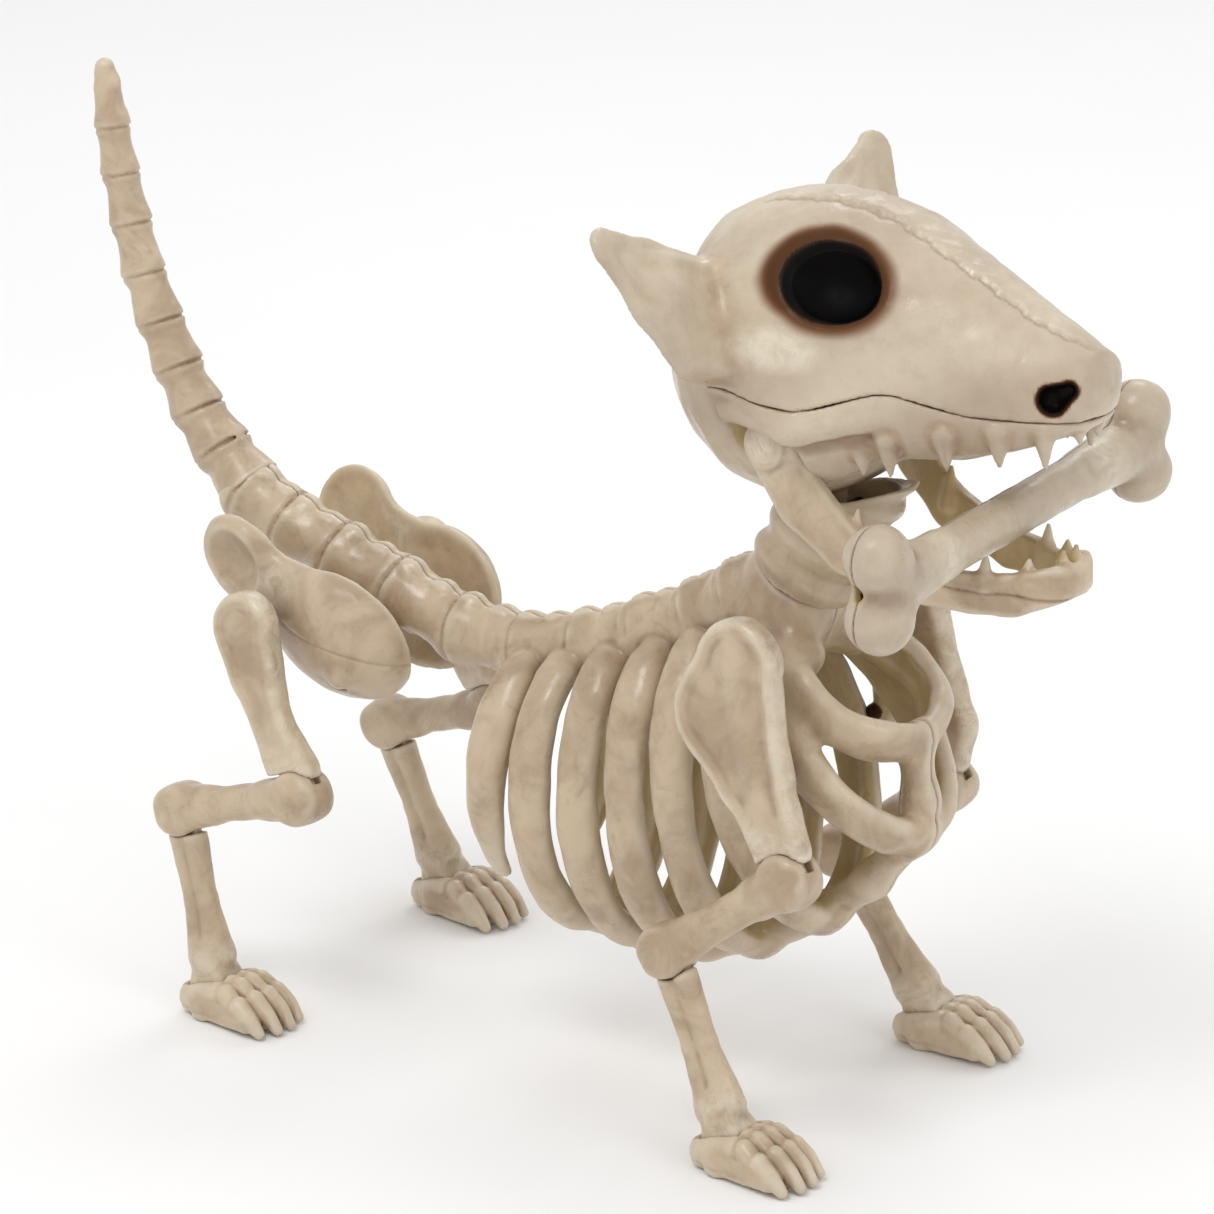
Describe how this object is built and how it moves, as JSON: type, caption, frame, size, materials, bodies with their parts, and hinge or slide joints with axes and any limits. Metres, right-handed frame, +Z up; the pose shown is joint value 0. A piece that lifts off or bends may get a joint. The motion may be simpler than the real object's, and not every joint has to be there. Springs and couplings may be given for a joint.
{
  "type": "dog skeleton decoration",
  "caption": "Free-standing posable dog skeleton decoration of painted plastic, holding a toy bone across its mouth.",
  "frame": {"origin": "on the ground below the middle of the overall box", "axes": "+X towards the nose, +Y towards the dog's left side, +Z up"},
  "size_m": [0.4301, 0.178, 0.3281],
  "materials": {
    "bone_paint": "cream moulded plastic with a brown wash in the hollows and a satin lacquer",
    "toy_bone_paint": "warm beige moulded plastic with a satin lacquer",
    "bare_plastic": "bare yellowish moulded plastic, as on the inside of the shells",
    "eye_black": "black gloss in the eye cups, airbrushed brown at the rim",
    "screw_steel": "dark plated steel"
  },
  "bodies": {
    "torso": {"spine_left": "bone_paint", "spine_right": "bone_paint", "ribs_left": "bone_paint", "ribs_right": "bone_paint", "sternum": "bone_paint", "shoulder_plate_left": "bare_plastic", "shoulder_plate_right": "bare_plastic", "pelvis_left": "bone_paint", "pelvis_right": "bone_paint", "torso_screws": "screw_steel", "front_right_screw": "screw_steel", "front_left_screw": "screw_steel", "hind_right_screw": "screw_steel", "hind_left_screw": "screw_steel"},
    "neck": {"neck_collar": "bone_paint", "head_pin": "screw_steel"},
    "head": {"skull_top": "bone_paint", "skull_base": "bone_paint", "eye_cups": "eye_black", "jaw_pins": "screw_steel"},
    "jaw": {"jaw": "bone_paint"},
    "toy_bone": {"toy_bone_front": "toy_bone_paint", "toy_bone_back": "toy_bone_paint"},
    "tail": {"tail": "bone_paint", "tail_plug": "bare_plastic"},
    "front_right_thigh": {"front_right_upper": "bone_paint"},
    "front_right_forearm": {"front_right_middle": "bone_paint", "front_right_knee_pin": "screw_steel", "front_right_wrist_pin": "screw_steel"},
    "front_right_shank": {"front_right_lower": "bone_paint", "front_right_ankle_pin": "screw_steel"},
    "front_right_foot": {"front_right_paw": "bone_paint"},
    "front_left_thigh": {"front_left_upper": "bone_paint"},
    "front_left_forearm": {"front_left_middle": "bone_paint", "front_left_knee_pin": "screw_steel", "front_left_wrist_pin": "screw_steel"},
    "front_left_shank": {"front_left_lower": "bone_paint", "front_left_ankle_pin": "screw_steel"},
    "front_left_foot": {"front_left_paw": "bone_paint"},
    "hind_right_thigh": {"hind_right_upper": "bone_paint"},
    "hind_right_forearm": {"hind_right_middle": "bone_paint", "hind_right_knee_pin": "screw_steel", "hind_right_wrist_pin": "screw_steel"},
    "hind_right_shank": {"hind_right_lower": "bone_paint", "hind_right_ankle_pin": "screw_steel"},
    "hind_right_foot": {"hind_right_paw": "bone_paint"},
    "hind_left_thigh": {"hind_left_upper": "bone_paint"},
    "hind_left_forearm": {"hind_left_middle": "bone_paint", "hind_left_knee_pin": "screw_steel", "hind_left_wrist_pin": "screw_steel"},
    "hind_left_shank": {"hind_left_lower": "bone_paint", "hind_left_ankle_pin": "screw_steel"},
    "hind_left_foot": {"hind_left_paw": "bone_paint"}
  },
  "joints": [
    {"name": "neck_turn", "type": "hinge", "parent": "torso", "child": "neck", "pos_m": [0.0945, 0, 0.191], "axis": [0.4695, 0, 0.8829], "range_deg": [-25, 25]},
    {"name": "head_nod", "type": "hinge", "parent": "neck", "child": "head", "pos_m": [0.106, 0, 0.214], "axis": [0, 1, 0], "range_deg": [-8, 8]},
    {"name": "jaw_open", "type": "hinge", "parent": "head", "child": "jaw", "pos_m": [0.105, 0, 0.248], "axis": [0, 1, 0], "range_deg": [0, 12]},
    {"name": "toy_bone_slide", "type": "slide", "parent": "jaw", "child": "toy_bone", "axis": [0.0278, 0.9967, 0.0757], "range_m": [-0.008, 0.008]},
    {"name": "tail_turn", "type": "hinge", "parent": "torso", "child": "tail", "pos_m": [-0.1477, 0, 0.1767], "axis": [-0.7342, 0, 0.679], "range_deg": [-60, 60]},
    {"name": "front_right_shoulder", "type": "hinge", "parent": "torso", "child": "front_right_thigh", "pos_m": [0.1016, -0.0505, 0.1757], "axis": [0, -0.9962, 0.0872], "range_deg": [-20, 20]},
    {"name": "front_right_elbow", "type": "hinge", "parent": "front_right_thigh", "child": "front_right_forearm", "pos_m": [0.12792, -0.05667, 0.1052], "axis": [0, -0.9962, 0.0872], "range_deg": [-10, 45]},
    {"name": "front_right_wrist", "type": "hinge", "parent": "front_right_forearm", "child": "front_right_shank", "pos_m": [0.08107, -0.05972, 0.07029], "axis": [0, -0.9962, 0.0872], "range_deg": [-40, 10]},
    {"name": "front_right_ankle", "type": "hinge", "parent": "front_right_shank", "child": "front_right_foot", "pos_m": [0.11073, -0.06491, 0.011], "axis": [0, -0.9962, 0.0872], "range_deg": [-18, 18]},
    {"name": "front_left_shoulder", "type": "hinge", "parent": "torso", "child": "front_left_thigh", "pos_m": [0.1016, 0.0505, 0.1757], "axis": [0, -0.9962, -0.0872], "range_deg": [-20, 20]},
    {"name": "front_left_elbow", "type": "hinge", "parent": "front_left_thigh", "child": "front_left_forearm", "pos_m": [0.11794, 0.05692, 0.10227], "axis": [0, -0.9962, -0.0872], "range_deg": [-10, 45]},
    {"name": "front_left_wrist", "type": "hinge", "parent": "front_left_forearm", "child": "front_left_shank", "pos_m": [0.07178, 0.06006, 0.06647], "axis": [0, -0.9962, -0.0872], "range_deg": [-40, 10]},
    {"name": "front_left_ankle", "type": "hinge", "parent": "front_left_shank", "child": "front_left_foot", "pos_m": [0.10813, 0.06491, 0.011], "axis": [0, -0.9962, -0.0872], "range_deg": [-18, 18]},
    {"name": "hind_right_hip", "type": "hinge", "parent": "torso", "child": "hind_right_thigh", "pos_m": [-0.1079, -0.0525, 0.1452], "axis": [0, -0.9962, 0.0872], "range_deg": [-20, 20]},
    {"name": "hind_right_knee", "type": "hinge", "parent": "hind_right_thigh", "child": "hind_right_forearm", "pos_m": [-0.07967, -0.05746, 0.08854], "axis": [0, -0.9962, 0.0872], "range_deg": [-6, 40]},
    {"name": "hind_right_hock", "type": "hinge", "parent": "hind_right_forearm", "child": "hind_right_shank", "pos_m": [-0.13381, -0.05886, 0.07246], "axis": [0, -0.9962, 0.0872], "range_deg": [-40, 10]},
    {"name": "hind_right_ankle", "type": "hinge", "parent": "hind_right_shank", "child": "hind_right_foot", "pos_m": [-0.11499, -0.06424, 0.011], "axis": [0, -0.9962, 0.0872], "range_deg": [-18, 18]},
    {"name": "hind_left_hip", "type": "hinge", "parent": "torso", "child": "hind_left_thigh", "pos_m": [-0.1079, 0.0525, 0.1452], "axis": [0, -0.9962, -0.0872], "range_deg": [-20, 20]},
    {"name": "hind_left_knee", "type": "hinge", "parent": "hind_left_thigh", "child": "hind_left_forearm", "pos_m": [-0.07828, 0.0574, 0.08924], "axis": [0, -0.9962, -0.0872], "range_deg": [-6, 40]},
    {"name": "hind_left_hock", "type": "hinge", "parent": "hind_left_forearm", "child": "hind_left_shank", "pos_m": [-0.13174, 0.05899, 0.07101], "axis": [0, -0.9962, -0.0872], "range_deg": [-40, 10]},
    {"name": "hind_left_ankle", "type": "hinge", "parent": "hind_left_shank", "child": "hind_left_foot", "pos_m": [-0.10869, 0.06424, 0.011], "axis": [0, -0.9962, -0.0872], "range_deg": [-18, 18]}
  ]
}
